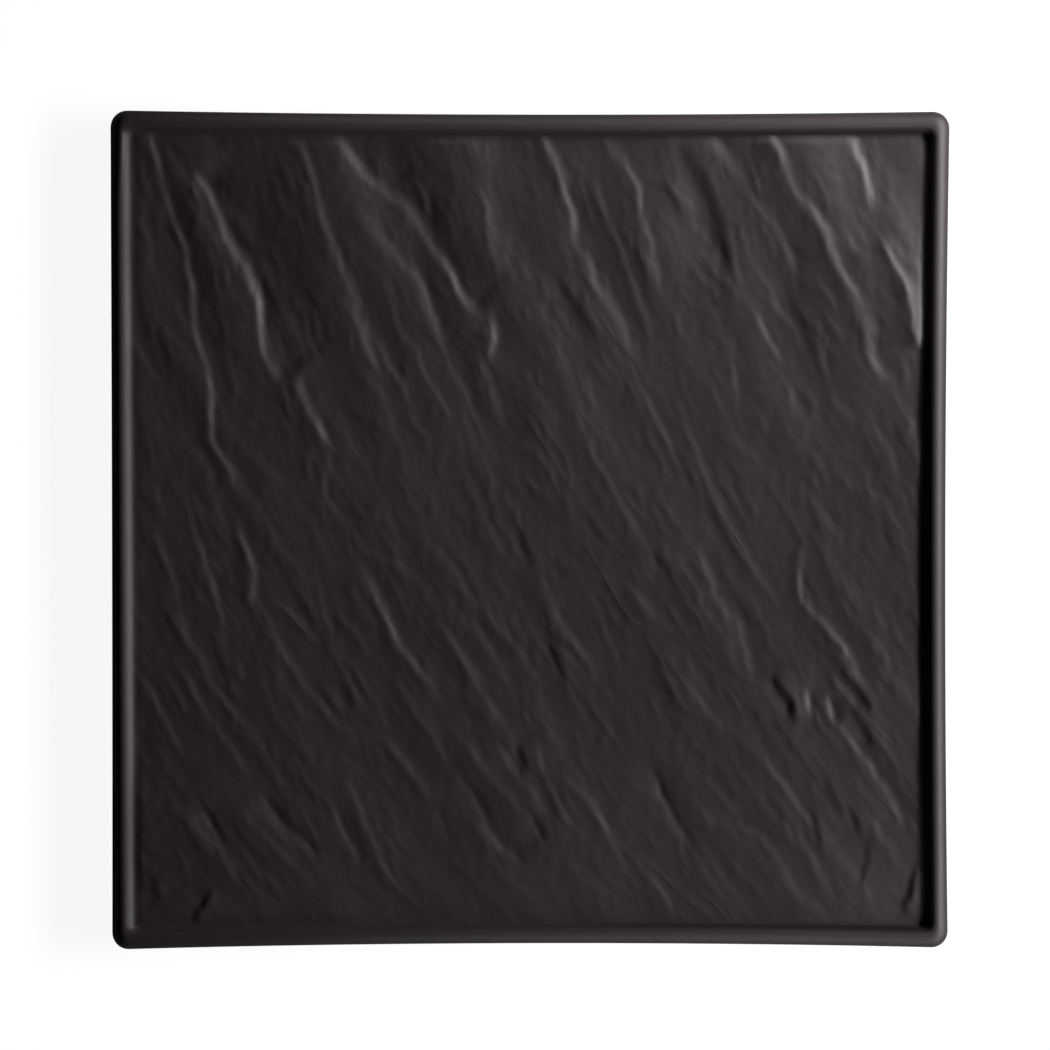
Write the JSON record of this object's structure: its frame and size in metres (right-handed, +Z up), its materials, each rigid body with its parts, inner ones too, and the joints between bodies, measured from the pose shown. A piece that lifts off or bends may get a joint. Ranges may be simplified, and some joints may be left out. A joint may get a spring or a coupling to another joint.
{
  "type": "square serving platter",
  "caption": "Square matt black serving platter with a split-stone relief floor inside a round raised rim, on a low foot band with soft non-slip pads.",
  "frame": {"origin": "on the surface that the pads stand on, under the middle of the platter", "axes": "+Z up, out of the serving floor; +X to the right; +Y to the back, which is the top of the picture"},
  "size_m": [0.3, 0.3, 0.0123],
  "materials": {
    "porcelain": "matt to satin black, vitrified, with a split-stone relief",
    "pad": "matt soft silicone"
  },
  "bodies": {
    "root": {"platter_body": "porcelain", "foot_front_left": "pad", "foot_front_right": "pad", "foot_back_left": "pad", "foot_back_right": "pad"}
  },
  "joints": []
}
